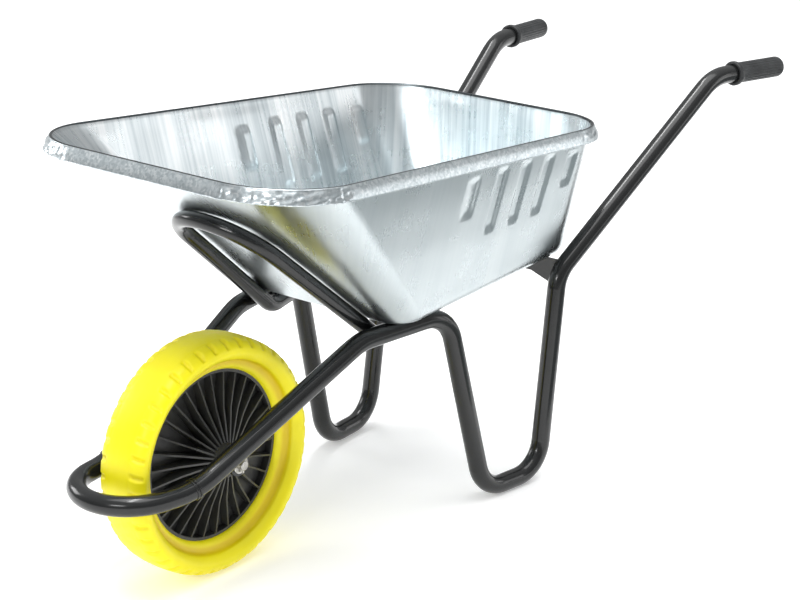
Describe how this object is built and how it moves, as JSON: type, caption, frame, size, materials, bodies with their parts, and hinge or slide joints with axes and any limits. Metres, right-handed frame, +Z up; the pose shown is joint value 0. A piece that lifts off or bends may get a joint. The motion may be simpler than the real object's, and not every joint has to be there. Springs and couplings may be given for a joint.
{
  "type": "wheelbarrow",
  "caption": "Builder's wheelbarrow: galvanised steel tray on a black bent-tube frame with a front loop, and a yellow solid-tyred wheel.",
  "frame": {"origin": "on the ground, in the middle plane, under the centre of the overall length", "axes": "+X forward to the wheel, +Y to the left, +Z up"},
  "size_m": [1.4907, 0.589, 0.6863],
  "materials": {
    "frame_black": "gloss black powder coat",
    "tray_zinc": "galvanised, satin",
    "zinc_hardware": "bright zinc",
    "tyre_yellow": "smooth moulded polyurethane",
    "wheel_black": "satin moulded plastic",
    "bush_nylon": "natural nylon",
    "grip_pvc": "soft PVC"
  },
  "bodies": {
    "frame": {"side_tube_left": "frame_black", "side_tube_right": "frame_black", "nose_hoop": "frame_black", "joint_rings_left": "frame_black", "joint_rings_right": "frame_black", "front_brace": "frame_black", "rear_cross_member": "frame_black", "axle_bracket_left": "frame_black", "axle_bracket_right": "frame_black", "axle": "zinc_hardware", "axle_spacer_left": "zinc_hardware", "axle_spacer_right": "zinc_hardware", "axle_washers": "zinc_hardware", "split_pins": "zinc_hardware", "tray": "tray_zinc", "front_tray_bolts": "zinc_hardware", "threaded_inserts": "zinc_hardware", "rear_tray_bolts": "zinc_hardware", "rear_tray_washers": "zinc_hardware", "rear_tray_nuts": "zinc_hardware", "grip_left": "grip_pvc", "grip_right": "grip_pvc"},
    "wheel": {"tyre": "tyre_yellow", "wheel_centre": "wheel_black", "hub_bush_left": "bush_nylon", "hub_bush_right": "bush_nylon"}
  },
  "joints": [
    {"name": "wheel_spin", "type": "hinge", "parent": "frame", "child": "wheel", "pos_m": [0.488, 0, 0.193], "axis": [0, 1, 0], "continuous": true}
  ]
}
